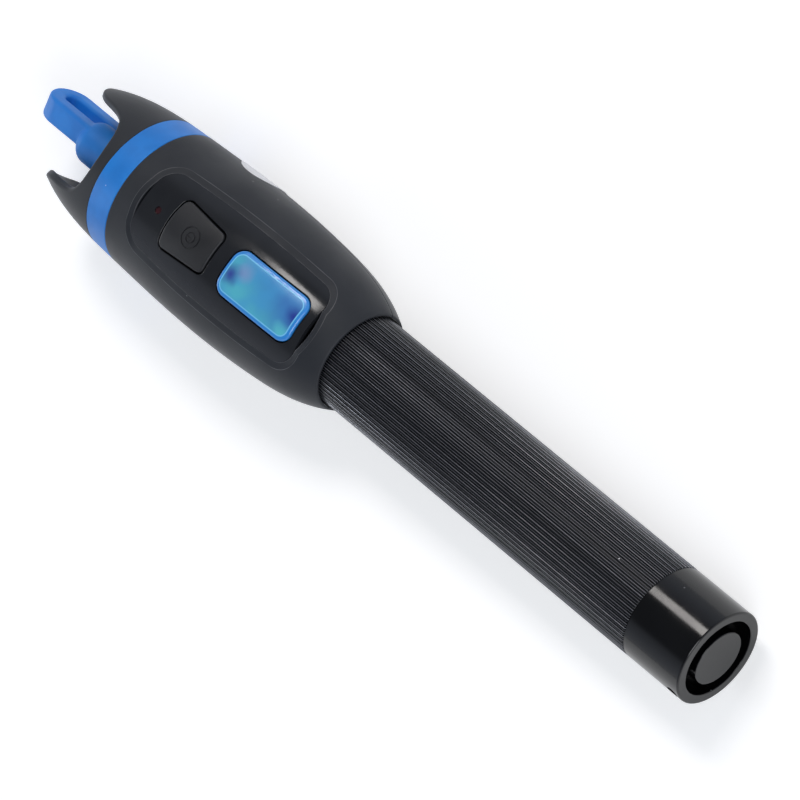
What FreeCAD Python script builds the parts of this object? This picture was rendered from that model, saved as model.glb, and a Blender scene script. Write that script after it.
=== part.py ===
"""Visual fault locator: a pen-shaped red-light source for checking optical fibre.

Frame: origin at the centre of the flat tail face, +X along the axis from tail to nose,
+Z up through the button. All sizes are in millimetres.
"""
import FreeCAD, Part
import math
import os

V = FreeCAD.Vector

# ---- lengths along the axis ------------------------------------------------------------
tail_cap_length = 13.8
grip_length = 79.5
control_room_length = 28.9
ring_width = 5.65
crown_length = 17.9

# ---- grip barrel -----------------------------------------------------------------------
grip_radius = 9.5
rib_count = 63
rib_width = 0.54
rib_foot_width = 0.73
rib_depth = 0.36
rib_run_in = 3.0
seat_step = 0.06
barrel_bore_radius = 7.4
thread_bore_radius = 8.3
thread_length = 7.0
edge_break = 0.2
parting_edge_radius = 0.15

# ---- head form: radius at distances from the rear rim, and of the crown -------------------
rim_lip = 0.4
shoulder_radius = 12.2
shoulder_distance = 4.6
cheek_radius = 13.4
cheek_distance = 9.3
haunch_radius = 14.26
haunch_distance = 16.0
belly_radius = 15.04
belly_distance = 34.0
ring_rear_radius = 14.33
ring_front_radius = 14.02
crown_mid_radius = 12.76
crown_mid_distance = 9.75
crown_tip_radius = 10.15

# ---- shells ----------------------------------------------------------------------------
shell_wall = 2.4
seam_gap = 0.1
rim_gap = 0.35
rim_rounding = 0.3
rim_depth = 3.2
collar_width = 3.0
seat_clearance = 0.05
bulkhead_thickness = 2.4
sleeve_radius = 12.4
sleeve_insertion = 3.5
sleeve_wall = 1.4
rest_flat_distance = 31.7
rest_flat_depth = 1.2

# ---- controls on top of the head ---------------------------------------------------------
panel_rear_distance = 5.6
panel_front_distance = 5.6
panel_half_width = 8.8
panel_end_half_width = 8.1
panel_nose_half_width = 7.6
panel_corner_radius = 4.0
panel_rim_rounding = 0.9
panel_edge_break = 0.12
panel_recess = 0.35
panel_thickness = 1.0
panel_clearance = 0.05
bedding_gap = 0.02
badge_rear_distance = 7.4
badge_button_space = 3.8
badge_width = 9.4
badge_corner_radius = 2.4
badge_gap = 0.3
badge_edge_radius = 0.5
button_front_distance = 13.6
button_length = 11.5
button_rear_width = 8.3
button_front_width = 10.1
button_front_bow = 0.45
button_corner_radius = 1.3
button_gap = 0.35
button_inset = 0.15
button_edge_radius = 0.3
button_flange_reach = 0.9
button_flange_thickness = 0.6
button_flange_clearance = 0.1
button_travel = 0.5
stem_overlap = 0.3
sign_radius = 2.1
sign_line = 0.22
sign_depth = 0.12
sign_inner_radius = 1.05
sign_gap_half = 0.35
lens_front_distance = 9.8
lens_radius = 0.7
lens_flange_radius = 1.3
lens_flange_thickness = 0.6
lens_inset = 0.6
lens_gap = 0.04

# ---- tail cap ----------------------------------------------------------------------------
tail_edge_radius = 0.35
groove_edge_radius = 0.15
groove_inner_radius = 5.35
groove_outer_radius = 7.6
groove_depth = 4.6
lanyard_hole_radius = 1.2
lanyard_hole_distance = 2.0
lanyard_hole_angle = 73.0
thread_clearance = 0.03
cap_floor = 1.7
spring_bore_radius = 5.9
cell_bore_radius = 7.3
cell_recess = 4.9
cell_end_gap = 0.3
ring_section_radius = 0.62
ring_groove_width = 1.4
ring_groove_distance = 0.2
ring_squeeze_gap = 0.03

# ---- batteries, contacts and spring --------------------------------------------------------
cell_radius = 7.15
cell_body_length = 49.2
cell_tip_radius = 2.75
cell_tip_length = 1.1
cell_edge_radius = 0.5
tail_contact_thickness = 0.7
spring_wire_radius = 0.4
spring_rear_radius = 4.9
spring_front_radius = 3.2
spring_turns = 4.5
front_contact_thickness = 0.4
front_contact_radius = 6.6
tab_width = 3.0
tab_overlap = 1.0
tab_height = 3.6
carrier_thickness = 1.9
carrier_flange_thickness = 1.2
carrier_flange_inset = 0.18

# ---- circuit board, switch and indicator ---------------------------------------------------
board_carrier_gap = 0.6
board_front_distance = 6.7
board_half_width = 6.4
board_thickness = 1.0
board_height = 7.4
post_width = 1.2
post_length = 1.6
switch_side = 6.0
switch_height = 2.5
plunger_radius = 1.5
plunger_length = 1.5
plunger_rise = 0.6
plunger_clearance = 0.03
well_spare = 0.1
led_length = 2.0
led_width = 1.25
led_height = 0.8

# ---- laser module and fibre port -----------------------------------------------------------
housing_radius = 6.0
housing_setback = 0.65
housing_length = 13.0
diode_flange_radius = 2.8
diode_flange_thickness = 1.2
diode_can_radius = 2.35
diode_can_length = 2.3
diode_pin_radius = 0.22
diode_pin_length = 3.5
diode_pin_circle = 1.27
lens_seat_distance = 4.0
focus_lens_radius = 3.15
focus_lens_rim = 1.3
focus_dome_radius = 2.3
focus_dome_height = 0.8
retainer_thickness = 1.2
retainer_hole_radius = 2.4
port_spigot_radius = 4.0
port_spigot_length = 4.8
port_flange_radius = 5.9
port_flange_thickness = 1.0
port_neck_radius = 4.5
port_neck_length = 4.0
port_barrel_radius = 3.25
port_barrel_length = 9.0
port_lip = 0.8
port_lip_radius = 1.3
ferrule_radius = 1.25
sleeve_outer_radius = 1.66
sleeve_slot = 0.5
alignment_length = 11.2
nut_across_flats = 11.0
nut_thickness = 2.2
running_clearance = 0.05

# ---- crown ---------------------------------------------------------------------------------
crown_wall = 1.8
crown_end_wall = 1.7
valley_distance = 2.75
prong_rise = 10.9
valley_dish = 4.0
prong_edge_angle = 44.5
prong_edge_spread = 7.0
crown_edge_rounding = 0.55

# ---- dust cap -------------------------------------------------------------------------------
dust_cap_radius = 4.3
dust_cap_gap = 0.2
dust_cap_fit = 0.03
dust_cap_end_gap = 0.4
dome_height = 3.1
dome_wall = 0.6
loop_wall = 2.9
loop_height = 9.1
loop_width = 4.9
loop_edge_radius = 0.6
loop_reach = 10.2
loop_lean = 1.05
loop_drop = 1.6
loop_tip_wall = 3.1
loop_roll = 20.0
lower_arm_length = 3.0

# ---- side label and screws -------------------------------------------------------------------
label_radius = 5.2
label_thickness = 0.12
label_front_distance = 14.0
label_angle = 96.4
screw_front_distance = 11.5
screw_spread = 9.6
screw_shank_radius = 0.85
screw_head_radius = 1.9
screw_head_height = 1.6
screw_length = 10.0
screw_boss_radius = 2.4
screw_seat_height = 6.4
screw_clearance = 0.05
screw_well_radius = 2.05
screw_slot = 0.5
screw_slot_reach = 1.15
screw_hole_spare = 1.0

# ---- places worked out from the sizes above ----------------------------------------------------
rim_radius = grip_radius + rim_gap + rim_lip
rib_root_radius = grip_radius - rib_depth
seat_radius = rib_root_radius - seat_step
carrier_flange_radius = seat_radius - carrier_flange_inset
head_start = tail_cap_length + grip_length
thread_end = tail_cap_length + thread_length
cell_rear = thread_end - cell_recess + cell_end_gap
cell_length = cell_body_length + cell_tip_length
cells_end = cell_rear + 2 * cell_length
carrier_start = cells_end + front_contact_thickness
barrel_end = carrier_start + carrier_thickness
carrier_end = barrel_end + carrier_flange_thickness
ring_start = barrel_end + control_room_length
crown_start = ring_start + ring_width
crown_end = crown_start + crown_length
contact_start = groove_depth + cap_floor
spring_start = contact_start + tail_contact_thickness
spring_length = cell_rear - spring_start
board_start = carrier_end + board_carrier_gap
board_end = ring_start - board_front_distance
board_top = board_height + board_thickness
tab_end = board_start + tab_overlap
button_start = ring_start - button_front_distance - button_length
button_centre = button_start + button_length / 2
lens_centre = ring_start - lens_front_distance
panel_start = head_start + panel_rear_distance
panel_end = ring_start - panel_front_distance
panel_floor = panel_recess + panel_thickness
badge_start = head_start + badge_rear_distance
badge_end = button_start - badge_button_space
switch_top = board_top + switch_height
plunger_top = switch_top + plunger_rise
housing_end = crown_start - housing_setback
housing_start = housing_end - housing_length
lens_seat = housing_start + lens_seat_distance
sleeve_start = ring_start - sleeve_insertion
bulkhead_end = sleeve_start - running_clearance
end_wall_start = housing_end + port_flange_thickness
end_wall_end = end_wall_start + crown_end_wall
port_neck_end = end_wall_start + port_neck_length
port_end = port_neck_end + port_barrel_length
spigot_start = housing_end - port_spigot_length
cap_start = port_neck_end + dust_cap_gap
dome_start = port_end + dust_cap_end_gap + dome_wall
loop_centre = dome_start + loop_reach
rest_slope = math.atan2(
    belly_radius - rest_flat_depth - grip_radius,
    head_start + rest_flat_distance,
)
far = 60.0
surface_tolerance = 0.01
X_AXIS = V(1, 0, 0)
Y_AXIS = V(0, 1, 0)
Z_AXIS = V(0, 0, 1)


# ---- helpers ---------------------------------------------------------------------------------
def rod(start, end, radius):
    """Round bar along the axis of the pen."""
    return Part.makeCylinder(radius, end - start, V(start, 0, 0), X_AXIS)


def tube(start, end, outer, inner):
    """Round tube along the axis of the pen."""
    return rod(start, end, outer).cut(rod(start, end, inner))


def upright(x, y, low, high, radius):
    """Round bar that stands along Z."""
    return Part.makeCylinder(radius, high - low, V(x, y, low), Z_AXIS)


def block(x0, x1, y0, y1, z0, z1):
    """Rectangular block between two corners."""
    return Part.makeBox(x1 - x0, y1 - y0, z1 - z0, V(x0, y0, z0))


def turned(points):
    """Solid of revolution about the axis, from a closed outline of (x, radius) points."""
    corners = [V(x, 0, r) for x, r in points]
    outline = Part.makePolygon(corners + [corners[0]])
    return Part.Face(outline).revolve(V(0, 0, 0), X_AXIS, 360)


def head_form(inset):
    """The head as a solid of revolution, with its surface moved inwards by inset."""
    stations = [
        (head_start, rim_radius),
        (head_start + shoulder_distance, shoulder_radius),
        (head_start + cheek_distance, cheek_radius),
        (head_start + haunch_distance, haunch_radius),
        (head_start + belly_distance, belly_radius),
        (ring_start, ring_rear_radius),
        (crown_start, ring_front_radius),
        (crown_start + crown_mid_distance, crown_mid_radius),
        (crown_end, crown_tip_radius),
    ]
    curve = Part.BSplineCurve()
    curve.interpolate([V(x, 0, inset - r) for x, r in stations])
    first = V(head_start, 0, 0)
    last = V(crown_end, 0, 0)
    sides = [
        Part.makeLine(first, V(head_start, 0, inset - rim_radius)),
        curve.toShape(),
        Part.makeLine(V(crown_end, 0, inset - crown_tip_radius), last),
        Part.makeLine(last, first),
    ]
    return Part.Face(Part.Wire(sides)).revolve(V(0, 0, 0), X_AXIS, 360)


def head_slice(start, end, inset):
    """Length of the head form between two stations."""
    return head_form(inset).common(rod(start, end, far))


def head_layer(outer_inset, inner_inset):
    """Layer that follows the head's surface between two insets."""
    return head_form(outer_inset).cut(head_form(inner_inset))


def rim_edges(body, x, radius):
    """Edges of a body that run round the axis at one station and near one radius."""
    edges = []
    for edge in body.Edges:
        middle = edge.valueAt((edge.FirstParameter + edge.LastParameter) / 2)
        start = edge.valueAt(edge.FirstParameter)
        if max(abs(middle.x - x), abs(start.x - x)) > surface_tolerance:
            continue
        reach = math.hypot(middle.y, middle.z)
        if abs(reach - radius) < surface_tolerance:
            edges.append(edge)
    return edges


def prism(outline, corner_radius):
    """Upright prism above the axis from a plan outline, with its upright corners rounded."""
    body = Part.Face(Part.Wire(outline)).extrude(V(0, 0, far))
    corners = []
    for edge in body.Edges:
        low, high = edge.BoundBox.ZMin, edge.BoundBox.ZMax
        if high - low > far - 1:
            corners.append(edge)
    return body.makeFillet(corner_radius, corners)


def bowed_outline(x0, x1, rear_half, middle_half, front_half, front_bow):
    """Plan outline with bowed long sides and a bowed front end."""
    middle = (x0 + x1) / 2
    rear_left = V(x0, rear_half, 0)
    rear_right = V(x0, -rear_half, 0)
    front_left = V(x1, front_half, 0)
    front_right = V(x1, -front_half, 0)
    sides = [Part.makeLine(rear_left, rear_right)]
    straight_half = (rear_half + front_half) / 2
    for start, end, side in ((rear_right, front_right, -1), (front_left, rear_left, 1)):
        if abs(middle_half - straight_half) > 0.01:
            edge = Part.Arc(start, V(middle, side * middle_half, 0), end).toShape()
        else:
            edge = Part.makeLine(start, end)
        sides.append(edge)
    if front_bow > 0:
        front = Part.Arc(front_right, V(x1 + front_bow, 0, 0), front_left).toShape()
    else:
        front = Part.makeLine(front_right, front_left)
    sides.insert(2, front)
    return sides


def panel_prism(grow):
    """Prism of the panel's outline, grown or shrunk all round."""
    return prism(
        bowed_outline(
            panel_start - grow,
            panel_end + grow,
            panel_end_half_width + grow,
            panel_half_width + grow,
            panel_nose_half_width + grow,
            0.0,
        ),
        panel_corner_radius + grow,
    )


def badge_prism(grow):
    """Prism of the badge's outline, grown all round."""
    half = badge_width / 2 + grow
    return prism(
        bowed_outline(badge_start - grow, badge_end + grow, half, half, half, 0.0),
        badge_corner_radius + grow,
    )


def button_prism(grow):
    """Prism of the button's outline, grown all round."""
    rear_half = button_rear_width / 2 + grow
    front_half = button_front_width / 2 + grow
    return prism(
        bowed_outline(
            button_start - grow,
            button_start + button_length + grow,
            rear_half,
            (rear_half + front_half) / 2,
            front_half,
            button_front_bow,
        ),
        button_corner_radius + grow,
    )


# ---- tail end ----------------------------------------------------------------------------------
def tail_cap():
    """Turned cap with the thread spigot, the grooved tail face and the lanyard hole."""
    r_thread = thread_bore_radius - thread_clearance
    ring_front = tail_cap_length + ring_groove_distance + ring_groove_width
    ring_floor = thread_bore_radius - ring_squeeze_gap - 2 * ring_section_radius
    body = turned([
        (0, 0),
        (0, grip_radius),
        (tail_cap_length - edge_break, grip_radius),
        (tail_cap_length, grip_radius - edge_break),
        (tail_cap_length, r_thread),
        (tail_cap_length + ring_groove_distance, r_thread),
        (tail_cap_length + ring_groove_distance, ring_floor),
        (ring_front, ring_floor),
        (ring_front, r_thread),
        (thread_end - edge_break, r_thread),
        (thread_end, r_thread - edge_break),
        (thread_end, 0),
    ])
    body = body.cut(rod(contact_start, thread_end, spring_bore_radius))
    body = body.cut(rod(thread_end - cell_recess, thread_end, cell_bore_radius))
    body = body.cut(tube(0, groove_depth, groove_outer_radius, groove_inner_radius))
    body = body.makeFillet(tail_edge_radius, rim_edges(body, 0, grip_radius))
    body = body.makeFillet(groove_edge_radius, rim_edges(body, 0, groove_outer_radius))
    body = body.makeFillet(groove_edge_radius, rim_edges(body, 0, groove_inner_radius))
    angle = math.radians(lanyard_hole_angle)
    outward = V(0, math.sin(angle), math.cos(angle))
    start = V(lanyard_hole_distance, 0, 0) + outward * ((groove_inner_radius + groove_outer_radius) / 2)
    hole = Part.makeCylinder(lanyard_hole_radius, grip_radius, start, outward)
    return body.cut(hole)


def tail_o_ring():
    """Rubber ring in the groove behind the thread."""
    centre = tail_cap_length + ring_groove_distance + ring_groove_width / 2
    ring_radius = thread_bore_radius - ring_squeeze_gap - ring_section_radius
    return Part.makeTorus(ring_radius, ring_section_radius, V(centre, 0, 0), X_AXIS)


def tail_contact():
    """Contact disc at the bottom of the cap's bore."""
    disc = rod(contact_start, spring_start, spring_bore_radius - running_clearance)
    return disc


def tail_spring():
    """Conical contact spring between the tail contact and the rear cell."""
    wire_start = spring_start + spring_wire_radius
    height = spring_length - 2 * spring_wire_radius
    pitch = height / spring_turns
    slope = math.degrees(math.atan2(spring_rear_radius - spring_front_radius, height))
    helix = Part.makeHelix(pitch, height, spring_rear_radius, -slope)
    start = helix.Edges[0].valueAt(helix.Edges[0].FirstParameter)
    tangent = helix.Edges[0].tangentAt(helix.Edges[0].FirstParameter)
    section = Part.Wire(Part.makeCircle(spring_wire_radius, start, tangent))
    coil = Part.Wire(helix).makePipeShell([section], True, True)
    coil.rotate(V(0, 0, 0), Y_AXIS, 90)
    coil.translate(V(wire_start, 0, 0))
    return coil


# ---- grip barrel ---------------------------------------------------------------------------------
def barrel():
    """Ribbed aluminium tube: each rib is a flat-topped ridge along the barrel."""
    start = tail_cap_length
    ribs_end = head_start + rib_run_in
    pitch = 2 * math.pi / rib_count
    top_half = rib_width / grip_radius / 2
    foot_half = rib_foot_width / grip_radius / 2
    corners = []
    for i in range(rib_count):
        centre = i * pitch
        for angle, radius in (
            (centre - foot_half, rib_root_radius),
            (centre - top_half, grip_radius),
            (centre + top_half, grip_radius),
            (centre + foot_half, rib_root_radius),
        ):
            corners.append(V(start, radius * math.sin(angle), radius * math.cos(angle)))
    ribbed = Part.Face(Part.makePolygon(corners + [corners[0]])).extrude(V(ribs_end - start, 0, 0))
    envelope = turned([
        (start, 0),
        (start, grip_radius - edge_break),
        (start + edge_break, grip_radius + edge_break),
        (ribs_end, grip_radius + edge_break),
        (ribs_end, 0),
    ])
    body = ribbed.common(envelope).fuse(rod(ribs_end, barrel_end, seat_radius))
    body = body.cut(rod(start, barrel_end, barrel_bore_radius))
    return body.cut(rod(start, thread_end + edge_break, thread_bore_radius))


def cell(start):
    """Round cell with its raised positive end towards the nose."""
    e = cell_edge_radius
    body_end = start + cell_body_length
    return turned([
        (start, 0),
        (start, cell_radius - e),
        (start + e, cell_radius),
        (body_end - e, cell_radius),
        (body_end, cell_radius - e),
        (body_end, cell_tip_radius),
        (body_end + cell_tip_length, cell_tip_radius),
        (body_end + cell_tip_length, 0),
    ])


def battery_rear():
    """Cell next to the tail cap."""
    return cell(cell_rear)


def battery_front():
    """Cell next to the head."""
    return cell(cell_rear + cell_length)


def tab_block(grow):
    """Straight part of the front contact's tab, or the slot for it."""
    half = tab_width / 2 + grow
    top = tab_height + front_contact_thickness
    return block(carrier_start - grow, tab_end, -half, half, tab_height - grow, top + grow)


def front_contact():
    """Positive contact plate with a tab that stands up to the circuit board."""
    plate = rod(cells_end, carrier_start, front_contact_radius)
    half = tab_width / 2
    leg = block(
        tab_end - front_contact_thickness,
        tab_end,
        -half,
        half,
        tab_height,
        board_height,
    )
    return plate.fuse([tab_block(0), leg]).removeSplitter()


def contact_carrier():
    """Insulating plug that closes the front of the barrel."""
    plug = rod(carrier_start, barrel_end, barrel_bore_radius - running_clearance)
    flange = rod(barrel_end, carrier_end, carrier_flange_radius)
    return plug.fuse(flange).cut(tab_block(running_clearance)).removeSplitter()


# ---- shells ----------------------------------------------------------------------------------------
def rest_flat_cutter():
    """Everything under the plane that passes through the tail rim and the rest flat."""
    slab = block(-far, ring_start + far, -far, far, -far, 0)
    slab.rotate(V(0, 0, 0), Y_AXIS, math.degrees(rest_slope))
    slab.translate(V(0, 0, -grip_radius))
    return slab


def screw_places():
    """Centres of the two shell screws in plan."""
    x = ring_start - screw_front_distance
    return [(x, -screw_spread), (x, screw_spread)]


def hollow_head():
    """Both shells in one: the walls, the barrel collars, the bulkhead and the screw bosses."""
    body = head_slice(head_start, ring_start, 0)
    inner = head_slice(head_start + rim_depth + collar_width, ring_start, shell_wall)
    body = body.cut(inner)
    body = body.cut(rod(head_start, barrel_end, seat_radius + seat_clearance))
    body = body.cut(rod(head_start, head_start + rim_depth, grip_radius + rim_gap))
    bulkhead = head_slice(bulkhead_end - bulkhead_thickness, bulkhead_end, shell_wall / 2)
    front_collar = head_slice(barrel_end - collar_width * 2, barrel_end - collar_width, shell_wall / 2)
    front_collar = front_collar.cut(rod(head_start, barrel_end, seat_radius + seat_clearance))
    bosses = []
    for x, y in screw_places():
        boss = upright(x, y, -far, far, screw_boss_radius)
        bosses.append(boss.common(head_slice(head_start, ring_start, shell_wall / 2)))
    body = body.fuse([bulkhead, front_collar] + bosses)
    body = body.cut(rod(housing_start, ring_start, housing_radius + running_clearance))
    sleeve_room = rod(bulkhead_end, ring_start, sleeve_radius + running_clearance)
    return body.cut(sleeve_room)


def panel_rim(body):
    """Edges of the upper shell where the panel recess meets the head's surface."""
    skin = head_form(0).Shells[0]
    edges = []
    for edge in body.Edges:
        middle = edge.valueAt((edge.FirstParameter + edge.LastParameter) / 2)
        if middle.z < seat_radius - panel_floor:
            continue
        if not head_start + rim_depth < middle.x < ring_start - edge_break:
            continue
        if skin.distToShape(Part.Vertex(middle))[0] < surface_tolerance:
            edges.append(edge)
    return edges


def round_ends(body):
    """Round the outer edges of a shell's rear rim and of its front end."""
    body = body.makeFillet(rim_rounding, rim_edges(body, head_start, rim_radius))
    return body.makeFillet(parting_edge_radius, rim_edges(body, ring_start, ring_rear_radius))


def upper_shell():
    """Top half shell, with the panel recess, the button opening and the board posts."""
    body = hollow_head()
    key_room = button_prism(button_gap + button_flange_reach + button_flange_clearance)
    posts = []
    for x in (board_start, board_end - post_length):
        for y in (-board_half_width, board_half_width - post_width):
            post = block(x, x + post_length, y, y + post_width, board_top, far)
            post = post.common(head_slice(head_start, ring_start, shell_wall / 2))
            posts.append(post.cut(key_room.cut(head_layer(0, shell_wall))))
    body = round_ends(body.fuse(posts))
    body = body.cut(block(0, far * 4, -far, far, -far, seam_gap / 2))
    body = body.cut(head_layer(-1.0, panel_floor).common(panel_prism(0)))
    body = body.makeFillet(panel_rim_rounding, panel_rim(body))
    body = body.cut(button_prism(button_gap))
    body = body.cut(upright(lens_centre, 0, 0, far, lens_radius + lens_gap))
    for x, y in screw_places():
        top = screw_length - screw_seat_height + screw_hole_spare
        body = body.cut(upright(x, y, 0, top, screw_shank_radius + screw_clearance))
    return body


def lower_shell():
    """Bottom half shell, with the rest flat and the screw wells."""
    body = round_ends(hollow_head())
    body = body.cut(block(0, far * 4, -far, far, -seam_gap / 2, far))
    body = body.cut(rest_flat_cutter())
    for x, y in screw_places():
        body = body.cut(upright(x, y, -far, 0, screw_shank_radius + screw_clearance))
        body = body.cut(upright(x, y, -far, -screw_seat_height, screw_well_radius))
    return body


def shell_screws():
    """Two screws that hold the shells together, heads down in their wells."""
    screws = []
    for x, y in screw_places():
        head_low = -screw_seat_height - screw_head_height
        head = upright(x, y, head_low, -screw_seat_height, screw_head_radius)
        arm = screw_slot_reach
        for long_side, short_side in ((arm, screw_slot / 2), (screw_slot / 2, arm)):
            slot = block(
                x - long_side,
                x + long_side,
                y - short_side,
                y + short_side,
                head_low,
                head_low + screw_head_height / 2,
            )
            head = head.cut(slot)
        shank = upright(x, y, -screw_seat_height, screw_length - screw_seat_height, screw_shank_radius)
        screws.append(head.fuse(shank).removeSplitter())
    return Part.makeCompound(screws)


# ---- controls ------------------------------------------------------------------------------------------
def top_face(body):
    """The face that lies highest."""
    return max(body.Faces, key=lambda face: face.CenterOfMass.z)


def control_panel():
    """Smooth inlay in the upper shell, with openings for the badge, the button and the light."""
    layer = head_layer(panel_recess, panel_floor - bedding_gap)
    body = layer.common(panel_prism(-panel_clearance))
    body = body.cut(badge_prism(badge_gap))
    body = body.cut(button_prism(button_gap))
    body = body.cut(upright(lens_centre, 0, 0, far, lens_radius + lens_gap))
    return body.makeFillet(panel_edge_break, top_face(body).Edges)


def badge():
    """Blank domed badge on the floor of the panel recess."""
    body = head_layer(0, panel_floor - bedding_gap).common(badge_prism(0))
    return body.makeFillet(badge_edge_radius, top_face(body).Edges)


def power_sign():
    """Upright prisms of the engraved sign: a ring round a broken ring with a bar in its gap."""
    def ring(radius):
        outer = upright(button_centre, 0, 0, far, radius)
        return outer.cut(upright(button_centre, 0, 0, far, radius - sign_line))

    gap = block(button_centre, button_centre + sign_radius, -sign_gap_half, sign_gap_half, 0, far)
    bar = block(
        button_centre,
        button_centre + sign_inner_radius,
        -sign_line / 2,
        sign_line / 2,
        0,
        far,
    )
    return ring(sign_radius).fuse([ring(sign_inner_radius).cut(gap), bar])


def power_button():
    """Key with a flange under the shell wall, an engraved sign and a stem on the switch."""
    flange_top = shell_wall + button_flange_clearance
    flange_low = flange_top + button_flange_thickness
    key = head_layer(button_inset, flange_low).common(button_prism(0))
    key = key.makeFillet(button_edge_radius, top_face(key).Edges)
    flange = head_layer(flange_top, flange_low).common(button_prism(button_gap + button_flange_reach))
    stem_top = belly_radius - flange_low + stem_overlap
    stem = upright(button_centre, 0, plunger_top, stem_top, plunger_radius)
    body = key.fuse([flange, stem]).removeSplitter()
    sign_layer = head_layer(-button_inset, button_inset + sign_depth)
    return body.cut(sign_layer.common(power_sign()))


def indicator_lens():
    """Red light guide over the indicator, held by its flange under the shell wall."""
    low = board_top + led_height + lens_gap
    guide = upright(lens_centre, 0, low, far, lens_radius).common(head_form(lens_inset))
    flange_inset = shell_wall + lens_gap
    flange = head_layer(flange_inset, flange_inset + lens_flange_thickness)
    flange = flange.common(upright(lens_centre, 0, 0, far, lens_flange_radius))
    return guide.fuse(flange).removeSplitter()


def indicator_led():
    """Small indicator on the circuit board, under its lens."""
    return block(
        lens_centre - led_length / 2,
        lens_centre + led_length / 2,
        -led_width / 2,
        led_width / 2,
        board_top,
        board_top + led_height,
    )


def circuit_board():
    """Board that carries the switch and the indicator."""
    return block(
        board_start,
        board_end,
        -board_half_width,
        board_half_width,
        board_height,
        board_top,
    )


def tactile_switch():
    """Switch body on the board, with a well for its plunger."""
    half = switch_side / 2
    body = block(button_centre - half, button_centre + half, -half, half, board_top, switch_top)
    well_floor = plunger_top - plunger_length - button_travel - well_spare
    return body.cut(upright(button_centre, 0, well_floor, far, plunger_radius + plunger_clearance))


def switch_plunger():
    """Plunger of the switch, pressed by the button's stem."""
    return upright(button_centre, 0, plunger_top - plunger_length, plunger_top, plunger_radius)


# ---- laser module and port -----------------------------------------------------------------------------
def laser_housing():
    """Brass tube that lines up the diode, the lens and the fibre port."""
    body = rod(housing_start, housing_end, housing_radius)
    retainer_end = lens_seat + focus_lens_rim + retainer_thickness
    flange_end = housing_start + diode_flange_thickness
    body = body.cut(rod(housing_start, flange_end, diode_flange_radius + running_clearance))
    body = body.cut(rod(flange_end, lens_seat, diode_can_radius + 2 * running_clearance))
    body = body.cut(rod(lens_seat, retainer_end, focus_lens_radius + running_clearance))
    return body.cut(rod(retainer_end, housing_end, port_spigot_radius + running_clearance))


def laser_diode():
    """Diode can with its flange and three pins."""
    flange_end = housing_start + diode_flange_thickness
    body = rod(housing_start, flange_end, diode_flange_radius)
    body = body.fuse(rod(flange_end, flange_end + diode_can_length, diode_can_radius))
    for i in range(3):
        angle = 2 * math.pi * i / 3
        place = V(
            housing_start - diode_pin_length,
            diode_pin_circle * math.sin(angle),
            diode_pin_circle * math.cos(angle),
        )
        body = body.fuse(Part.makeCylinder(diode_pin_radius, diode_pin_length, place, X_AXIS))
    return body.removeSplitter()


def focusing_lens():
    """Plano-convex lens: flat towards the diode, domed towards the port, with a flat rim."""
    rim_end = lens_seat + focus_lens_rim
    ball_radius = (focus_dome_radius ** 2 + focus_dome_height ** 2) / (2 * focus_dome_height)
    ball = Part.makeSphere(ball_radius, V(rim_end + focus_dome_height - ball_radius, 0, 0))
    dome = ball.common(rod(rim_end - focus_lens_rim / 2, rim_end + focus_dome_height, focus_dome_radius))
    return rod(lens_seat, rim_end, focus_lens_radius).fuse(dome).removeSplitter()


def lens_retainer():
    """Threaded ring that holds the lens on its seat."""
    start = lens_seat + focus_lens_rim
    return tube(start, start + retainer_thickness, focus_lens_radius, retainer_hole_radius)


def ferrule_port():
    """Metal port: spigot in the laser housing, flange, threaded neck and plain barrel."""
    body = rod(spigot_start, housing_end, port_spigot_radius)
    body = body.fuse([
        rod(housing_end, end_wall_start, port_flange_radius),
        rod(end_wall_start, port_neck_end, port_neck_radius),
        rod(port_neck_end, port_end, port_barrel_radius),
    ]).removeSplitter()
    body = body.cut(rod(spigot_start, port_end - port_lip, sleeve_outer_radius + running_clearance))
    return body.cut(rod(port_end - port_lip, port_end, port_lip_radius))


def alignment_sleeve():
    """Split ceramic sleeve that grips a 2.5 mm ferrule."""
    end = port_end - port_lip
    body = tube(end - alignment_length, end, sleeve_outer_radius, ferrule_radius)
    slot = block(end - alignment_length, end, -sleeve_slot / 2, sleeve_slot / 2, 0, sleeve_outer_radius * 2)
    return body.cut(slot)


def port_nut():
    """Hexagon nut that clamps the port to the crown's end wall."""
    corner = nut_across_flats / math.sqrt(3)
    points = []
    for i in range(7):
        angle = math.pi / 3 * i
        points.append(V(end_wall_end, corner * math.sin(angle), corner * math.cos(angle)))
    body = Part.Face(Part.makePolygon(points)).extrude(V(nut_thickness, 0, 0))
    return body.cut(rod(end_wall_end, end_wall_end + nut_thickness, port_neck_radius + running_clearance))


# ---- accent ring and crown --------------------------------------------------------------------------------
def accent_ring():
    """Coloured ring between the shells and the crown."""
    body = head_slice(ring_start, crown_start, 0)
    body = body.cut(rod(ring_start, crown_start, sleeve_radius + running_clearance))
    edges = rim_edges(body, ring_start, ring_rear_radius)
    edges += rim_edges(body, crown_start, ring_front_radius)
    return body.makeFillet(parting_edge_radius, edges)


def crown_edge_station(angle):
    """Station of the crown's wavy edge: low in the top and bottom valleys, high at the sides."""
    side = math.degrees(math.asin(abs(math.sin(angle))))
    climb = 0.5 * (1 + math.tanh((side - prong_edge_angle) / prong_edge_spread))
    return crown_start + valley_distance + valley_dish * math.sin(angle) ** 2 + prong_rise * climb


def crown_edge_curve(radius):
    """Closed curve of the crown's edge, carried out to one radius."""
    points = []
    steps = 96
    for i in range(steps):
        angle = 2 * math.pi * i / steps
        points.append(V(crown_edge_station(angle), radius * math.sin(angle), radius * math.cos(angle)))
    curve = Part.BSplineCurve()
    curve.interpolate(points, PeriodicFlag=True)
    return curve.toShape()


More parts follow.
